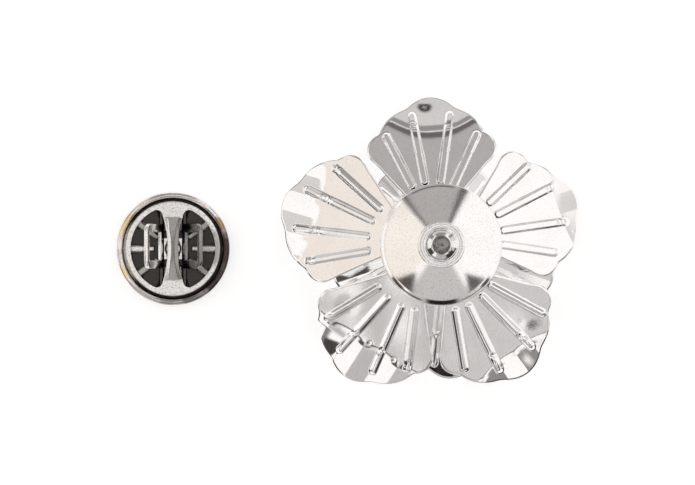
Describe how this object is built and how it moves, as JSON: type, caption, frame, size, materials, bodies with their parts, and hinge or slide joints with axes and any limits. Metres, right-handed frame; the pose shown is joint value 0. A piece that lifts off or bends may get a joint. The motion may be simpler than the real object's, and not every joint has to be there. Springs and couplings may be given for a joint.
{
  "type": "flower lapel pin with butterfly clutch",
  "caption": "Metal flower lapel pin lying face down: two layers of ribbed petals, conical washer and upright post, with its butterfly clutch taken off beside it",
  "frame": {"origin": "on the post's axis at the flat face of the front button, which is the table that the pin lies on", "axes": "+Z along the post away from the flower, +X from the clutch towards the flower, +Y across both"},
  "size_m": [0.0469, 0.0292, 0.015],
  "materials": {
    "petal_plate": "bright plated stamping",
    "washer_plate": "bright plated, faintly brushed",
    "post_plate": "bright plated",
    "cup_plate": "bright plated, lightly tarnished",
    "clutch_satin": "satin plated"
  },
  "bodies": {
    "root": {"petals_back": "petal_plate", "petals_front": "petal_plate", "back_washer": "washer_plate", "post": "post_plate", "front_button": "petal_plate", "clutch_cup": "cup_plate", "clutch_plate": "clutch_satin"},
    "wing_left": {"wing_left": "clutch_satin"},
    "wing_right": {"wing_right": "clutch_satin"}
  },
  "joints": [
    {"name": "wing_left_pinch", "type": "hinge", "parent": "root", "child": "wing_left", "pos_m": [-0.02835, -0.0004, 0.0008], "axis": [0, 1, 0], "range_deg": [0, 12], "stiffness_Nm_per_rad": 0.12},
    {"name": "wing_right_pinch", "type": "hinge", "parent": "root", "child": "wing_right", "pos_m": [-0.02605, -0.0004, 0.0008], "axis": [0, -1, 0], "range_deg": [0, 12], "stiffness_Nm_per_rad": 0.12}
  ]
}
